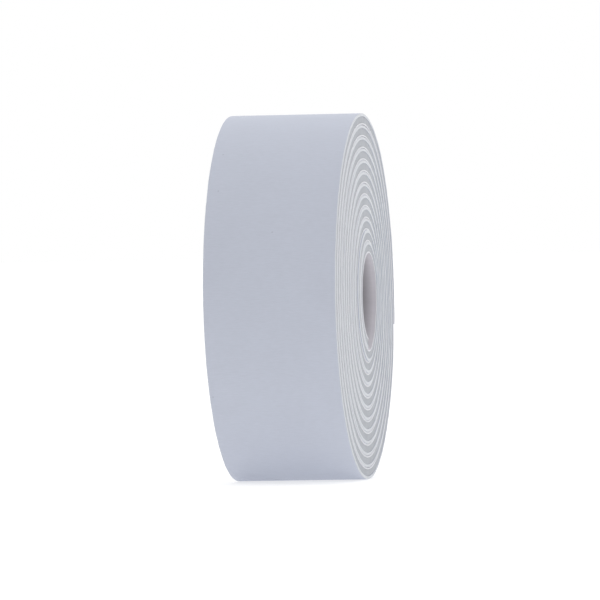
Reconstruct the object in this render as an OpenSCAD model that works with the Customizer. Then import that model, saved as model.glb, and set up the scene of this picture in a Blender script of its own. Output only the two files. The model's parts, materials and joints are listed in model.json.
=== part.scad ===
// Roll of cushioned, self-adhesive grip tape, standing on its rim.
// The roll's axis is X and the bore's centre is the origin. Angles are measured about X,
// from the top (+Z) round through the back (+Y), and the tape winds outwards that way.
// Each turn follows a true circle for three quarters of the way, then two ramp arcs lift it by one
// pitch over its own start.
// The last stretch of the outer turn is the free tail, split where it flexes when it is peeled open.

/* [Tape] */
// Width of the strip, along the roll's axis
strip_w = 30; // [20:1:40]
// Thickness of the smooth outer skin
skin_t = 0.7; // [0.4:0.05:1.2]
// Thickness of the foam cushion
foam_t = 1.55; // [1:0.05:2.5]
// Thickness of the adhesive coat under the foam
adhesive_t = 0.1; // [0.05:0.05:0.3]
// Thickness of the release liner that covers the adhesive
liner_t = 0.25; // [0.1:0.05:0.4]
// How far the adhesive coat stays back from each edge of the strip
adhesive_inset = 0.3; // [0:0.1:2]

/* [Winding] */
// Radius of the round part of the bore
bore_r = 9.8; // [8:0.1:15]
// Pitch of the winding, in ten-thousandths of 1393 mm: the tape's thickness and a little air
pitch_units = 19; // [19:1:21]
// Number of turns up to the one that carries the tail
turns = 12; // [4:1:14]
// Angle at which the tape's inner end lies
start_angle = 200; // [190:1:220]
// How much further back the first turn reaches, under the end of its own ramp
inner_lead = 6; // [0:1:6]

/* [Tail] */
// Angle at which the free tail leaves the wound part
tail_start = 10; // [5:1:20]
// Angle of each flexing segment of the tail
tail_step = 22.5; // [18:0.5:22.5]
// Cut between two neighbouring segments
segment_gap = 0.2; // [0.1:0.05:0.4]
// Air between the free tail and the turn under it
tail_air = 0.3; // [0.2:0.05:0.5]

/* [Closure tab] */
// Width of the clear tab that holds the tail down
tab_w = 18; // [10:1:26]
// Thickness of the tab
tab_t = 0.15; // [0.1:0.05:0.3]
// Angle that each half of the tab covers
tab_span = 13; // [8:1:13]
// Air between the tab's flap and what it lies on
tab_air = 0.2; // [0.1:0.05:0.4]

/* [Hidden] */
$fn = 180;

// Heights of the layers above the underside of the tape
adhesive_z = liner_t;
foam_z = adhesive_z + adhesive_t;
skin_z = foam_z + foam_t;
tape_t = skin_z + skin_t;

// The ramp spans a quarter turn. Its arcs' centres lie ramp_step from the axis, on the directions where
// the ramp starts and ends, so they are mid_step apart. The ratio 3363 to 2378 is the root of two to
// within one part in ten million, and it keeps every radius a short decimal, so that the arcs join exactly.
ramp_step = 2378 * pitch_units / 10000;
mid_step = 3363 * pitch_units / 10000;
pitch = 2 * ramp_step - mid_step;
wrap_gap = pitch - tape_t;

// Radii of the outer turn, of the free tail on it, and of the turn under the tail's end
last_r = bore_r + (turns - 1) * pitch;
tail_r = last_r - wrap_gap + tail_air;
tail_top_r = tail_r + tape_t;
under_r = last_r - wrap_gap;
tail_end = tail_start + 4 * tail_step;
// Angle from the outer turn's start to the start of its tail
last_angle = 360 - start_angle + tail_start;

skin_colour = [0.76, 0.78, 0.83];
foam_colour = [0.66, 0.68, 0.7];
adhesive_colour = [0.8, 0.78, 0.72];
liner_colour = [0.84, 0.82, 0.84];
tab_colour = [0.9, 0.92, 0.94, 0.6];

// Turns the arcs' own plane so that they wind about X, with angle 0 at the top
module about_x() {
  rotate([0, -90, 0]) children();
}

// A strip of width w bent round the axis at radius r, thick t, from angle a to angle b
module arc(r, t, w, a, b) {
  rotate_extrude(angle = b - a, start = a)
    translate([r, -w / 2]) square([t, w]);
}

// One turn of a layer whose inner face starts at radius r: round from 90 to 360 degrees, then the ramp
module turn(r, t, w, lead) {
  arc(r, t, w, 90 - lead, 360);
  translate([-ramp_step, 0, 0]) arc(r + ramp_step, t, w, 0, 45);
  translate([0, ramp_step, 0]) arc(r + ramp_step - mid_step, t, w, 45, 90);
}

// A layer that lies z above the tape's underside: whole turns, and the round start of the outer one
module wound_layer(z, t, w) {
  about_x() rotate([0, 0, start_angle - 90]) {
    for (i = [0 : turns - 2]) turn(bore_r + i * pitch + z, t, w, i == 0 ? inner_lead : 0);
    arc(last_r + z, t, w, 90, 90 + last_angle);
  }
}

// A layer of the tail's segment i, cut back at both ends so that the segment can turn
module tail_layer(i, z, t, w) {
  cut = segment_gap / 2 / tail_top_r * 180 / PI;
  a = tail_start + (i - 1) * tail_step;
  about_x() arc(tail_r + z, t, w, a + cut, a + tail_step - cut);
}

module skin_wound() {
  color(skin_colour) wound_layer(skin_z, skin_t, strip_w);
}

module foam_wound() {
  color(foam_colour) wound_layer(foam_z, foam_t, strip_w);
}

module adhesive_wound() {
  color(adhesive_colour) wound_layer(adhesive_z, adhesive_t, strip_w - 2 * adhesive_inset);
}

module liner_wound() {
  color(liner_colour) wound_layer(0, liner_t, strip_w);
}

module skin_tail(i) {
  color(skin_colour) tail_layer(i, skin_z, skin_t, strip_w);
}

module foam_tail(i) {
  color(foam_colour) tail_layer(i, foam_z, foam_t, strip_w);
}

module adhesive_tail(i) {
  color(adhesive_colour) tail_layer(i, adhesive_z, adhesive_t, strip_w - 2 * adhesive_inset);
}

module liner_tail(i) {
  color(liner_colour) tail_layer(i, 0, liner_t, strip_w);
}

// The half of the tab that is stuck to the tail's outer face
module closure_tab_base() {
  color(tab_colour) about_x()
    arc(tail_top_r, tab_t, tab_w, tail_end - tab_span, tail_end - 0.5);
}

// The half that steps down over the tail's end and lies on the turn below
module closure_tab_flap() {
  drop_a = 0.3;
  drop_w = 0.3;
  flap_r = under_r + tab_air;
  color(tab_colour) about_x() {
    arc(flap_r, tab_t, tab_w, tail_end + drop_a, tail_end + tab_span);
    arc(flap_r, tail_top_r - flap_r, tab_w, tail_end + drop_a, tail_end + drop_a + drop_w);
  }
}

skin_wound();
foam_wound();
adhesive_wound();
liner_wound();
skin_tail(1);  // skin_tail_1
foam_tail(1);  // foam_tail_1
adhesive_tail(1);  // adhesive_tail_1
liner_tail(1);  // liner_tail_1
skin_tail(2);  // skin_tail_2
foam_tail(2);  // foam_tail_2
adhesive_tail(2);  // adhesive_tail_2
liner_tail(2);  // liner_tail_2
skin_tail(3);  // skin_tail_3
foam_tail(3);  // foam_tail_3
adhesive_tail(3);  // adhesive_tail_3
liner_tail(3);  // liner_tail_3
skin_tail(4);  // skin_tail_4
foam_tail(4);  // foam_tail_4
adhesive_tail(4);  // adhesive_tail_4
liner_tail(4);  // liner_tail_4
closure_tab_base();
closure_tab_flap();
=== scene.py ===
"""The looks of a roll of cushioned grip tape: one laminated strip, wound on itself, round the CAD frame."""
import json
import math

import bpy
import numpy as np
from mathutils import Matrix, Vector, noise


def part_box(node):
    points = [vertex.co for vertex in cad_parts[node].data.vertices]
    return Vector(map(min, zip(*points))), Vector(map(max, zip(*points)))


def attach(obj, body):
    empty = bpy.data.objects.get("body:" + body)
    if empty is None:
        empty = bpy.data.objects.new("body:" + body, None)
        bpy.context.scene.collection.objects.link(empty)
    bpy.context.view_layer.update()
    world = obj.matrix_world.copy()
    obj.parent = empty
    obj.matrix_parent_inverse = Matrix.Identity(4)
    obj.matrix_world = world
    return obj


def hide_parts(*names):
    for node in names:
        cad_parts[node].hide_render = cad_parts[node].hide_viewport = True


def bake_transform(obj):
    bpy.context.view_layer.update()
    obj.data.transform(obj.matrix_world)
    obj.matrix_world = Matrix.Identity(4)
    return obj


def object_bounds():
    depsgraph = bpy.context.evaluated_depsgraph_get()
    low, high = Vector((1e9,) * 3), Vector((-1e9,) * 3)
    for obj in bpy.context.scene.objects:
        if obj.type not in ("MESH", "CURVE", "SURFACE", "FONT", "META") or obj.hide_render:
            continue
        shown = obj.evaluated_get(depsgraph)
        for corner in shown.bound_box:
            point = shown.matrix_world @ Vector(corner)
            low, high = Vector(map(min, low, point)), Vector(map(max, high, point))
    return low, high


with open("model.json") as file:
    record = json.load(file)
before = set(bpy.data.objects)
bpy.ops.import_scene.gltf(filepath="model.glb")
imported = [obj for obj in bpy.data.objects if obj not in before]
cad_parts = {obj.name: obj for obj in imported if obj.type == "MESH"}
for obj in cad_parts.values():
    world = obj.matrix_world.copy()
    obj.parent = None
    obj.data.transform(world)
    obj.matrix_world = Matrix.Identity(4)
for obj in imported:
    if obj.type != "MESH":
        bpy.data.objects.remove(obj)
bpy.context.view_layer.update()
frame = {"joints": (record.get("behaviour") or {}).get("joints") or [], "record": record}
MM = 0.001
HINGES = {joint["name"]: joint for joint in frame["joints"]}
BORE = next(m for m in frame["record"]["mounts"] if m["name"] == "bore")

# ---- The strip and its winding, in millimetres and degrees ----
WIDTH = BORE["dims"]["length_mm"]
BORE_R = BORE["dims"]["r_mm"]
LINER_T, ADHESIVE_T, FOAM_T, SKIN_T = 0.25, 0.1, 1.55, 0.7
ADHESIVE_Z = LINER_T
FOAM_Z = ADHESIVE_Z + ADHESIVE_T
SKIN_Z = FOAM_Z + FOAM_T
TAPE_T = SKIN_Z + SKIN_T
# Each turn keeps its radius to RAMP_FROM degrees, then climbs to the next turn over two equal arcs.
RAMP_FROM, RAMP_MIDDLE, FULL_TURN = 270, 315, 360
RAMP_STEP = 4.5182
MID_STEP = 6.3897
PITCH = 2 * RAMP_STEP - MID_STEP
START_ANGLE = 200
INNER_LEAD = 6
LAST_TURN = 11
TURN_COUNT = LAST_TURN + 1


def hinge_point(name):
    """Where a joint's axis crosses the YZ plane, as (angle from the top, radius in mm)."""
    x, y, z = HINGES[name]["pos_m"]
    return math.degrees(math.atan2(y, z)), math.hypot(y, z) / MM


TAIL_ANGLE, TAIL_TOP_R = hinge_point("tail_lift_1")
TAIL_STEP = hinge_point("tail_lift_2")[0] - TAIL_ANGLE
TAIL_START = FULL_TURN * TURN_COUNT - START_ANGLE + TAIL_ANGLE
TAIL_END = TAIL_START + 4 * TAIL_STEP
LAST_R = BORE_R + LAST_TURN * PITCH
# The tail keeps only this share of the air that the CAD leaves under it, and rises onto it over LIFT_SPAN.
AIR_SHARE = 0.3
TAIL_LIFT = AIR_SHARE * (TAIL_TOP_R - TAPE_T - LAST_R)
LIFT_SPAN = 14


def smooth(t):
    """0 before t=0, 1 after t=1, and an even S between."""
    t = min(max(t, 0.0), 1.0)
    return t * t * (3 - 2 * t)


def path(wound):
    """The strip's underside after winding through an angle: (centre y, centre z, radius), in mm."""
    turn = max(0, min(LAST_TURN, int(wound // FULL_TURN)))
    local = wound - FULL_TURN * turn
    radius = BORE_R + turn * PITCH
    if turn == LAST_TURN or local <= RAMP_FROM:
        lift = TAIL_LIFT * smooth((wound - TAIL_START + LIFT_SPAN) / LIFT_SPAN)
        return 0.0, 0.0, radius + lift
    first_arc = local <= RAMP_MIDDLE
    along = math.radians(START_ANGLE + (RAMP_FROM if first_arc else FULL_TURN))
    if first_arc:
        return -RAMP_STEP * math.sin(along), -RAMP_STEP * math.cos(along), radius + RAMP_STEP
    return RAMP_STEP * math.sin(along), RAMP_STEP * math.cos(along), radius + RAMP_STEP - MID_STEP


# ---- Past the tail's end the cushioned turns swell to the full radius, and the tail thins over them ----
SWELL = 2.4
SWELL_START, SWELL_SPAN = 84.0, 28.0
RAMP_SPAN = 90.0
RAMP_START = START_ANGLE - RAMP_SPAN


def swell(angle):
    """How far the outermost covered turn swells outwards at an angle from the top, in mm."""
    rise = smooth((angle - SWELL_START) / SWELL_SPAN)
    return SWELL * rise * (1 - smooth((angle - RAMP_START) / RAMP_SPAN))


def place(wound, x, height):
    """A point of the strip in the row frame, in metres."""
    y, z, radius = path(wound)
    angle = math.radians(START_ANGLE + wound)
    if wound > TAIL_START:
        lump = swell(math.degrees(angle) - FULL_TURN * TURN_COUNT)
        r = radius + lump + height * (TAPE_T - lump) / TAPE_T
        return Vector((x, r * math.sin(angle), r * math.cos(angle))) * MM
    y += (radius + height) * math.sin(angle)
    z += (radius + height) * math.cos(angle)
    out = math.hypot(y, z)
    share = (out - BORE_R) / (LAST_R - BORE_R)
    grown = 1 + share * swell(math.degrees(math.atan2(y, z)) % FULL_TURN) / out
    return Vector((x, y * grown, z * grown)) * MM


# ---- How unevenly the turns lie side by side ----
CREEP = (0.78, 0.76, 0.50, 0.42, 0.30, 0.22, 0.20, 0.14, 0.06, -0.04, -0.08, -0.10, -0.12)
WANDER = 0.07
SLOW_WAVES, QUICK_WAVES = 1.7, 9.0
QUICK_SHARE = 0.5
EDGE_WAVE = 0.05
EDGE_WAVES_PER_MM = 0.35


def axial(wound):
    """How far the strip stands out along the roll's axis, in mm: the inner turns most, in uneven steps."""
    turn = wound / FULL_TURN
    slow = noise.noise(Vector((turn * SLOW_WAVES, 3.1, 0.4)))
    quick = noise.noise(Vector((turn * QUICK_WAVES, 8.3, 1.9)))
    return float(np.interp(turn, range(len(CREEP)), CREEP)) + WANDER * (slow + QUICK_SHARE * quick)


def edge_wave(wound, seed):
    """The unevenness of one layer's cut edge, in mm."""
    arc = math.radians(wound) * (BORE_R + wound / FULL_TURN * PITCH)
    return EDGE_WAVE * noise.noise(Vector((arc * EDGE_WAVES_PER_MM, seed, 0.7)))


# ---- Cross-sections: closed loops of (side, x, height), for a strip whose edges are sides +1 and -1 ----
CORNER_STEPS = 4
FLAT_STEPS = 6


def rounded(low, high, inset, corner_low, corner_high, bulge=0.0):
    """One edge's outline, from the underside up. Its x is measured outwards from the strip's edge."""
    side = []
    for i in range(CORNER_STEPS + 1):
        t = math.pi / 2 * i / CORNER_STEPS
        side.append((-inset - corner_low * (1 - math.sin(t)), low + corner_low * (1 - math.cos(t))))
    middle = (low + corner_low + high - corner_high) / 2
    side.append((-inset + bulge, middle))
    for i in range(CORNER_STEPS + 1):
        t = math.pi / 2 * i / CORNER_STEPS
        side.append((-inset - corner_high * (1 - math.cos(t)), high - corner_high * (1 - math.sin(t))))
    return side


def section(side):
    """Closes an edge outline into the whole loop. Side 0 marks points whose x counts from the middle."""
    loop = [(1, x, z) for x, z in side]
    half = WIDTH / 2
    top_x, top_z = side[-1]
    for i in range(1, FLAT_STEPS):
        loop.append((0, (half + top_x) * (1 - 2 * i / FLAT_STEPS), top_z))
    loop += [(-1, x, z) for x, z in reversed(side)]
    low_x, low_z = side[0]
    for i in range(1, FLAT_STEPS):
        loop.append((0, -(half + low_x) * (1 - 2 * i / FLAT_STEPS), low_z))
    return loop


SECTIONS = {
    "skin": section(rounded(SKIN_Z, TAPE_T, inset=0.0, corner_low=0.06, corner_high=0.24)),
    "foam": section(rounded(FOAM_Z, SKIN_Z, inset=0.12, corner_low=0.05, corner_high=0.05, bulge=0.04)),
    "adhesive": section(rounded(ADHESIVE_Z, FOAM_Z, inset=0.04, corner_low=0.02, corner_high=0.02)),
    "liner": section(rounded(0.0, LINER_T, inset=0.0, corner_low=0.02, corner_high=0.02)),
}
EDGE_SEED = {"skin": 1.3, "foam": 2.6, "adhesive": 4.4, "liner": 7.9}


STATION_ARC = 1.3
STATION_ANGLE = 3.0
CREASE_ANGLE = math.radians(40)


def stations(start, end):
    """Winding angles from start to end, at most STATION_ARC mm and STATION_ANGLE degrees apart."""
    out = [start]
    while out[-1] < end - 1e-6:
        radius = BORE_R + out[-1] / FULL_TURN * PITCH
        out.append(out[-1] + min(STATION_ANGLE, math.degrees(STATION_ARC / radius)))
    out[-1] = end
    return out


def swept(name, layer, start, end):
    """A stretch of one layer as a closed mesh."""
    loop = SECTIONS[layer]
    half = WIDTH / 2
    points = []
    rings = stations(start, end)
    for wound in rings:
        shift = axial(wound)
        wave = {1: edge_wave(wound, EDGE_SEED[layer]), -1: edge_wave(wound, -EDGE_SEED[layer]), 0: 0.0}
        for sign, x, z in loop:
            across = sign * (half + x + wave[sign]) if sign else x
            points.append(place(wound, across + shift, z))
    n = len(loop)
    faces = [tuple(range(n))[::-1], tuple(range(len(points) - n, len(points)))]
    for i in range(len(rings) - 1):
        a = i * n
        faces += [(a + j, a + (j + 1) % n, a + n + (j + 1) % n, a + n + j) for j in range(n)]
    return mesh_piece(name, points, faces)


def mesh_piece(name, points, faces):
    """A mesh object from points in metres, smooth-shaded with crisp ends, and its faces turned outwards."""
    mesh = bpy.data.meshes.new(name)
    mesh.from_pydata([tuple(p) for p in points], [], faces)
    mesh.validate()
    piece = bpy.data.objects.new(name, mesh)
    bpy.context.scene.collection.objects.link(piece)
    bpy.context.view_layer.objects.active = piece
    piece.select_set(True)
    bpy.ops.object.mode_set(mode="EDIT")
    bpy.ops.mesh.select_all(action="SELECT")
    bpy.ops.mesh.normals_make_consistent(inside=False)
    bpy.ops.object.mode_set(mode="OBJECT")
    bpy.ops.object.shade_smooth_by_angle(angle=CREASE_ANGLE)
    piece.select_set(False)
    return piece


# ---- Materials ----
def principled(name):
    """A new material, its node tree and its Principled shader."""
    material = bpy.data.materials.new(name)
    material.use_nodes = True
    tree = material.node_tree
    return material, tree, tree.nodes["Principled BSDF"]


def node(tree, kind, settings=(), inputs=()):
    """Adds a node; inputs maps a socket to a value or to another node's output."""
    made = tree.nodes.new(kind)
    for key, value in dict(settings).items():
        setattr(made, key, value)
    for key, value in dict(inputs).items():
        if isinstance(value, bpy.types.NodeSocket):
            tree.links.new(value, made.inputs[key])
        else:
            made.inputs[key].default_value = value
    return made


def link(tree, shader, **outputs):
    """Links outputs to the shader's sockets; an underscore in a keyword stands for a space."""
    for socket, output in outputs.items():
        tree.links.new(output, shader.inputs[socket.replace("_", " ")])


def stretched(tree, along=1.0):
    """The object's own coordinates. Values of along below 1 draw a texture out across the strip."""
    where = node(tree, "ShaderNodeTexCoord").outputs["Object"]
    return node(tree, "ShaderNodeMapping", inputs={
        "Vector": where, "Scale": (along, 1.0, 1.0)}).outputs["Vector"]


def noise_at(tree, where, scale, detail):
    """Noise of a scale in waves per metre."""
    return node(tree, "ShaderNodeTexNoise", inputs={
        "Vector": where, "Scale": scale, "Detail": detail, "Roughness": NOISE_ROUGHNESS}).outputs["Fac"]


def cells_at(tree, where, scale):
    """The distance to the nearest of many scattered points, scale of them to the metre."""
    return node(tree, "ShaderNodeTexVoronoi", {"feature": "F1"}, {
        "Vector": where, "Scale": scale}).outputs["Distance"]


def math_node(tree, operation, *values):
    """One arithmetic step on values or outputs."""
    return node(tree, "ShaderNodeMath", {"operation": operation}, dict(enumerate(values))).outputs[0]


def ramp(tree, value, *stops):
    """A colour ramp through (position, colour) stops. A plain number stands for a grey."""
    made = node(tree, "ShaderNodeValToRGB", inputs={"Fac": value})
    for element, (position, colour) in zip(made.color_ramp.elements, stops):
        rgb = colour if isinstance(colour, tuple) else (colour,) * 3
        element.position = position
        element.color = (*rgb, 1.0)
    return made.outputs["Color"]


def shade(colour, factor):
    """A colour made darker or lighter."""
    return tuple(min(1.0, c * factor) for c in colour)


MIX_FACTOR, MIX_A, MIX_B, MIX_COLOUR = 0, 6, 7, 2


def multiply(tree, a, b):
    """Two colours multiplied."""
    made = node(tree, "ShaderNodeMix", {"data_type": "RGBA", "blend_type": "MULTIPLY"}, {
        MIX_FACTOR: 1.0, MIX_A: a, MIX_B: b})
    return made.outputs[MIX_COLOUR]


def bump(tree, height, strength, distance):
    """A normal roughened by a height; distance is in metres."""
    return node(tree, "ShaderNodeBump", inputs={
        "Height": height, "Strength": strength, "Distance": distance}).outputs["Normal"]


def edge_tone(tree, face, edge):
    """One tone on the strip's faces and another on its cut edges, told apart by the surface's direction."""
    normal = node(tree, "ShaderNodeNewGeometry").outputs["Normal"]
    split = node(tree, "ShaderNodeSeparateXYZ", inputs={0: normal})
    sideways = math_node(tree, "ABSOLUTE", split.outputs["X"])
    return ramp(tree, sideways, (0.35, face), (0.75, edge))


NOISE_ROUGHNESS = 0.55
SKIN = (0.553, 0.583, 0.671)
SKIN_EDGE = (0.655, 0.676, 0.712)
SPECK = (0.82, 0.82, 0.83)
FOAM = (0.455, 0.472, 0.504)
LINER_FACE = (0.760, 0.735, 0.790)
LINER_EDGE = (0.665, 0.680, 0.722)
# How dark the painted shade along the middle of the liner's faces is: it stands for the shade deep inside the
# bore.
LINER_PAINTED_SHADE = 0.42
ADHESIVE = (0.720, 0.730, 0.760)
TAB_DARK = (0.80, 0.83, 0.86)
TAB_LIGHT = (0.88, 0.90, 0.93)


def skin_material():
    """Smooth matte polyurethane: a faint grain across the strip, soft clouding and a few dark specks."""
    material, tree, shader = principled("pu_skin")
    grain = noise_at(tree, stretched(tree, along=0.12), scale=5200.0, detail=2.0)
    cloud = noise_at(tree, stretched(tree), scale=90.0, detail=4.0)
    specks = cells_at(tree, stretched(tree), scale=150.0)
    base = multiply(tree, edge_tone(tree, SKIN, SKIN_EDGE), ramp(tree, cloud, (0.3, 0.975), (0.7, 1.0)))
    grained = multiply(tree, base, ramp(tree, grain, (0.3, 0.95), (0.7, 1.0)))
    colour = multiply(tree, grained, ramp(tree, specks, (0.018, SPECK), (0.035, 1.0)))
    link(tree, shader, Base_Color=colour, Roughness=ramp(tree, cloud, (0.3, 0.62), (0.7, 0.72)),
         Normal=bump(tree, grain, strength=0.12, distance=0.00005))
    shader.inputs["Specular IOR Level"].default_value = 0.25
    return material


def foam_material():
    """Closed-cell foam with a sliced edge: fine pores of uneven size."""
    material, tree, shader = principled("cushion_foam")
    where = stretched(tree)
    cells = cells_at(tree, where, scale=3400.0)
    cloud = noise_at(tree, where, scale=420.0, detail=3.0)
    base = ramp(tree, cloud, (0.3, shade(FOAM, 0.95)), (0.7, shade(FOAM, 1.04)))
    colour = multiply(tree, base, ramp(tree, cells, (0.0, 0.86), (0.35, 1.0)))
    link(tree, shader, Base_Color=colour, Normal=bump(tree, cells, strength=0.35, distance=0.00012))
    shader.inputs["Roughness"].default_value = 0.9
    shader.inputs["Specular IOR Level"].default_value = 0.15
    return material


def painted_shade_to_middle(tree, colour, painted_shade_factor):
    """Painted shade on the strip's faces: a colour darker along the middle, standing for the shade deep
    inside the bore, that pales towards both edges.
    """
    where = node(tree, "ShaderNodeTexCoord").outputs["Object"]
    across = node(tree, "ShaderNodeSeparateXYZ", inputs={0: where}).outputs["X"]
    reach = math_node(tree, "DIVIDE", math_node(tree, "ABSOLUTE", across), WIDTH / 2 * MM)
    return ramp(tree, reach, (0.80, shade(colour, painted_shade_factor)), (1.0, colour))


def liner_material():
    """Satin release paper with faint fibres, pinkish on its faces and paler on its cut edges; its faces carry
    painted shade along the strip's middle.
    """
    material, tree, shader = principled("release_liner")
    fibres = noise_at(tree, stretched(tree, along=0.25), scale=1500.0, detail=4.0)
    cloud = noise_at(tree, stretched(tree), scale=120.0, detail=2.0)
    base = ramp(tree, cloud, (0.3, 0.97), (0.7, 1.0))
    fibrous = multiply(tree, base, ramp(tree, fibres, (0.3, 0.95), (0.7, 1.0)))
    # The faces darken towards the strip's middle: painted shade for the depth of the bore.
    face = multiply(tree, fibrous, painted_shade_to_middle(tree, LINER_FACE, LINER_PAINTED_SHADE))
    edge = multiply(tree, base, (*LINER_EDGE, 1.0))
    mixed = node(tree, "ShaderNodeMix", {"data_type": "RGBA"}, {
        MIX_FACTOR: edge_tone(tree, 0.0, 1.0), MIX_A: face, MIX_B: edge})
    link(tree, shader, Base_Color=mixed.outputs[MIX_COLOUR],
         Normal=bump(tree, fibres, strength=0.1, distance=0.00004))
    shader.inputs["Roughness"].default_value = 0.45
    return material


def adhesive_material():
    """A tacky pale coat with an orange-peel surface."""
    material, tree, shader = principled("adhesive_coat")
    peel = noise_at(tree, stretched(tree), scale=900.0, detail=2.0)
    base = ramp(tree, peel, (0.3, shade(ADHESIVE, 0.94)), (0.7, shade(ADHESIVE, 1.04)))
    link(tree, shader, Base_Color=base, Normal=bump(tree, peel, strength=0.3, distance=0.0001))
    shader.inputs["Roughness"].default_value = 0.28
    return material


def tab_material():
    """Clear glossy film with the fine ripple of pulled tape."""
    material, tree, shader = principled("clear_tab")
    ripple = noise_at(tree, stretched(tree, along=0.3), scale=700.0, detail=2.0)
    base = ramp(tree, ripple, (0.3, TAB_DARK), (0.7, TAB_LIGHT))
    link(tree, shader, Base_Color=base, Normal=bump(tree, ripple, strength=0.15, distance=0.00005))
    shader.inputs["Roughness"].default_value = 0.12
    shader.inputs["Alpha"].default_value = 0.45
    return material


MATERIALS = {
    "skin": skin_material(),
    "foam": foam_material(),
    "adhesive": adhesive_material(),
    "liner": liner_material(),
    "tab": tab_material(),
}


def finish_piece(piece, slot):
    """Gives a piece its material."""
    piece.data.materials.append(MATERIALS[slot])
    return piece


# ---- The strip's layers, from the bore to the tail ----
SEAM_BACK = 3.0
HALF_STEP = TAIL_STEP / 2
TIP_GAP = 0.15
PEEL_LEAD = 3.0
PEEL_SPAN = 0.6 * TAIL_STEP


def bend(piece, start, end):
    """Bakes the piece's transform into its mesh; the strip's middle at start and at end is worked out, but
    nothing uses it.
    """
    middle = TAPE_T / 2
    place(start, 0, middle)
    place(end, 0, middle)
    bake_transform(piece)


def build_layer(layer):
    """One layer: the wound part, four stretches that lie over the hinges and are attached to no body, and the
    tail's end.
    """
    first_seam = TAIL_START - SEAM_BACK
    wound = finish_piece(swept(f"{layer}_roll", layer, -INNER_LEAD, first_seam), layer)
    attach(wound, "roll")
    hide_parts(f"{layer}_wound")
    start = first_seam
    last_bend = 3 if layer == "liner" else 4
    for i in range(1, last_bend + 1):
        end = TAIL_START + (i - 1) * TAIL_STEP + HALF_STEP
        piece = finish_piece(swept(f"{layer}_bend_{i}", layer, start, end), layer)
        bend(piece, start, end)
        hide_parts(f"{layer}_tail_{i}")
        start = end
    if layer == "liner":
        build_liner_end(start)
        return
    tip = finish_piece(swept(f"{layer}_tip", layer, start, TAIL_END - TIP_GAP), layer)
    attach(tip, "tail_4")


def build_liner_end(start):
    """The liner's last stretch, in two pieces along the tape's path: one over the last hinge with the tape,
    then one on to the tail's end.
    """
    peel_start = TAIL_START + 3 * TAIL_STEP + PEEL_LEAD
    with_tape = finish_piece(swept("liner_bend_4", "liner", start, peel_start), "liner")
    bend(with_tape, start, peel_start)
    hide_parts("liner_tail_4")
    peeling = finish_piece(swept("liner_peel", "liner", peel_start, TAIL_END - TIP_GAP), "liner")
    bend(peeling, peel_start, peel_start + PEEL_SPAN)


# ---- The closure tab ----
TAB_T = 0.15
TAB_LOW, TAB_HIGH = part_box("closure_tab_base")
TAB_HALF = (TAB_HIGH.x - TAB_LOW.x) / 2 / MM
TAB_CORNER = 2.0
TAB_SPAN = 13.0
TAB_AIR = 0.02
TAB_LOW_AIR = 0.07
TAB_GAP = 0.2
TAB_DROP = 3.0
TAB_ACROSS = 8
BASE_STEPS, DROP_STEPS, FLAP_STEPS = 26, 10, 20


def tab_half_width(distance):
    """Half the film's width at a distance from its rounded end, in mm."""
    if distance >= TAB_CORNER:
        return TAB_HALF
    inner = TAB_CORNER - distance
    return TAB_HALF - TAB_CORNER + math.sqrt(max(0.0, TAB_CORNER ** 2 - inner ** 2))


def film(name, route, end_first):
    """A thin film along a route of (angle, radius) points in mm, with rounded corners at one end."""
    lengths = [0.0]
    for (a0, r0), (a1, r1) in zip(route, route[1:]):
        lengths.append(lengths[-1] + math.hypot(r1 - r0, math.radians(a1 - a0) * r0))
    spots = [Vector((r * math.sin(math.radians(a)), r * math.cos(math.radians(a)))) for a, r in route]
    points = []
    for i, spot in enumerate(spots):
        ahead = spots[min(i + 1, len(spots) - 1)] - spots[max(i - 1, 0)]
        outward = Vector((-ahead.y, ahead.x)).normalized()
        distance = lengths[i] if end_first else lengths[-1] - lengths[i]
        half = tab_half_width(distance)
        for side in (0.0, TAB_T):
            at = spot + outward * side
            xs = [half * (2 * j / TAB_ACROSS - 1) for j in range(TAB_ACROSS + 1)]
            points += [Vector((x, at.x, at.y)) * MM for x in (xs if side == 0 else xs[::-1])]
    n = 2 * (TAB_ACROSS + 1)
    faces = [tuple(range(n)), tuple(range(len(points) - n, len(points)))[::-1]]
    for i in range(len(spots) - 1):
        a = i * n
        faces += [(a + j, a + n + j, a + n + (j + 1) % n, a + (j + 1) % n) for j in range(n)]
    return finish_piece(mesh_piece(name, points, faces), "tab")


def flap_route(first, top):
    """The flap's route: down over the tail's end, then along the swollen turn under it."""
    def resting(angle):
        return LAST_R + TAB_LOW_AIR + swell(angle)

    route = []
    for i in range(DROP_STEPS + 1):
        angle = first + TAB_DROP * i / DROP_STEPS
        route.append((angle, top + (resting(angle) - top) * smooth(i / DROP_STEPS)))
    for i in range(1, FLAP_STEPS + 1):
        angle = first + TAB_DROP + (TAB_SPAN - TAB_DROP) * i / FLAP_STEPS
        route.append((angle, resting(angle)))
    return route


def build_tab():
    """The film's two halves: one stuck on the tail, one stepping down to the turn under it."""
    end_angle = START_ANGLE + TAIL_END - FULL_TURN * TURN_COUNT
    top = LAST_R + TAIL_LIFT + TAPE_T + TAB_AIR
    base_route = [(end_angle - TAB_SPAN + TAB_SPAN * i / BASE_STEPS, top) for i in range(BASE_STEPS + 1)]
    base = film("closure_tab_base_film", base_route, True)
    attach(base, "tail_4")
    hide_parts("closure_tab_base")
    flap = film("closure_tab_flap_film", flap_route(end_angle + TAB_GAP, top), False)
    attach(flap, "tab_flap")
    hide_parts("closure_tab_flap")


# ---- Stage, light and camera ----
FLOOR_HALF = 6.0
FLOOR_GREY = (0.55, 0.55, 0.55, 1)
FLOOR_GLOW = 0.55


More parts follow.
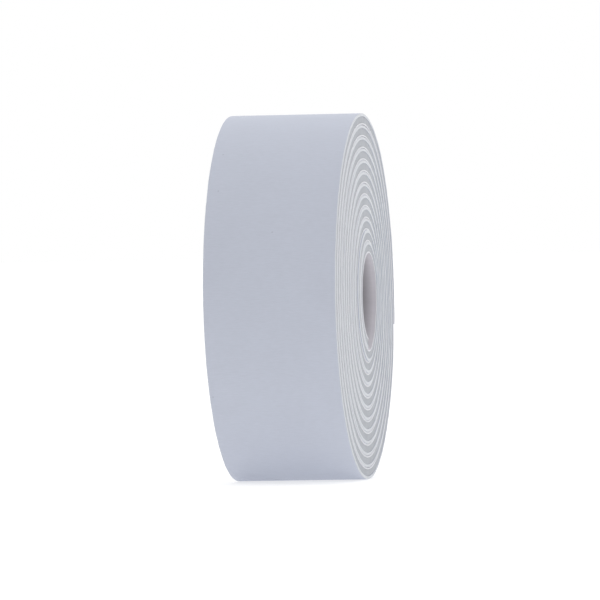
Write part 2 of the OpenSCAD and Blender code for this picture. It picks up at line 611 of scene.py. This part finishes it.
def build_stage():
    """A wide pale floor under the roll's lowest point. It glows a little, so that the shadow stays soft."""
    low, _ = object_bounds()
    mesh = bpy.data.meshes.new("floor")
    size = FLOOR_HALF
    corners = [(-size, -size), (size, -size), (size, size), (-size, size)]
    mesh.from_pydata([(x, y, low[2]) for x, y in corners], [], [(0, 1, 2, 3)])
    floor = bpy.data.objects.new("floor", mesh)
    bpy.context.scene.collection.objects.link(floor)
    material, _, shader = principled("pale_floor")
    shader.inputs["Base Color"].default_value = FLOOR_GREY
    shader.inputs["Roughness"].default_value = 1.0
    shader.inputs["Specular IOR Level"].default_value = 0.0
    shader.inputs["Emission Color"].default_value = (1, 1, 1, 1)
    shader.inputs["Emission Strength"].default_value = FLOOR_GLOW
    mesh.materials.append(material)


# The sky's brightness, how broad its dark part in front is, and the height at which that part ends.
SKY = 1.20
DARK_SHAPE = 0.3
BRIGHT_FROM = 0.80
SEEN_WHITE = 1.0


def build_light():
    """White surroundings, dark low down on the camera's side so that the rim's front turns a shade darker."""
    world = bpy.data.worlds.new("studio")
    bpy.context.scene.world = world
    world.use_nodes = True
    tree = world.node_tree
    background = tree.nodes["Background"]
    where = node(tree, "ShaderNodeTexCoord").outputs["Generated"]
    split = node(tree, "ShaderNodeSeparateXYZ", inputs={0: where})
    front = node(tree, "ShaderNodeMath", {"operation": "MULTIPLY", "use_clamp": True}, {
        0: split.outputs["Y"], 1: -1.0}).outputs[0]
    shaped = math_node(tree, "POWER", front, DARK_SHAPE)
    taken = node(tree, "ShaderNodeMapRange", {"interpolation_type": "SMOOTHSTEP"}, {
        "Value": split.outputs["Z"], "From Min": 0.0, "From Max": BRIGHT_FROM, "To Min": -SKY, "To Max": 0.0})
    dimmed = math_node(tree, "MULTIPLY_ADD", shaped, taken.outputs[0], SKY)
    seen = node(tree, "ShaderNodeLightPath").outputs["Is Camera Ray"]
    strength = node(tree, "ShaderNodeMix", {"data_type": "FLOAT"}, {0: seen, 2: dimmed, 3: SEEN_WHITE})
    tree.links.new(strength.outputs[0], background.inputs["Strength"])
    background.inputs["Color"].default_value = (1, 1, 1, 1)


CAMERA_AZIMUTH, CAMERA_ELEVATION, CAMERA_ROLL = 9.645, 0.747, -1.164
CAMERA_DISTANCE = 2.0
VIEW_WIDTH = 0.13629
AIM_RIGHT, AIM_DOWN = -0.00022, 0.00058
SENSOR = 36.0
FARTHEST = 100.0


def build_camera():
    """A long lens, a little to the right of square and just above the bore's height."""
    camera = bpy.data.cameras.new("camera")
    camera.sensor_width = SENSOR
    camera.lens = camera.sensor_width * CAMERA_DISTANCE / VIEW_WIDTH
    camera.clip_end = FARTHEST
    holder = bpy.data.objects.new("camera", camera)
    bpy.context.scene.collection.objects.link(holder)
    a, e = math.radians(CAMERA_AZIMUTH), math.radians(CAMERA_ELEVATION)
    back = Vector((math.sin(a) * math.cos(e), -math.cos(a) * math.cos(e), math.sin(e)))
    right = Vector((math.cos(a), math.sin(a), 0))
    up = back.cross(right)
    turn = Matrix((right, up, back)).transposed() @ Matrix.Rotation(math.radians(CAMERA_ROLL), 3, "Z")
    spot = back * CAMERA_DISTANCE + right * AIM_RIGHT - up * AIM_DOWN
    holder.matrix_world = Matrix.Translation(spot) @ turn.to_4x4()
    bpy.context.scene.camera = holder


bpy.context.scene.view_settings.view_transform = "Standard"
build_camera()
build_light()
for name in ("skin", "foam", "adhesive", "liner"):
    build_layer(name)
build_tab()
bpy.context.view_layer.update()
build_stage()

bpy.context.view_layer.update()
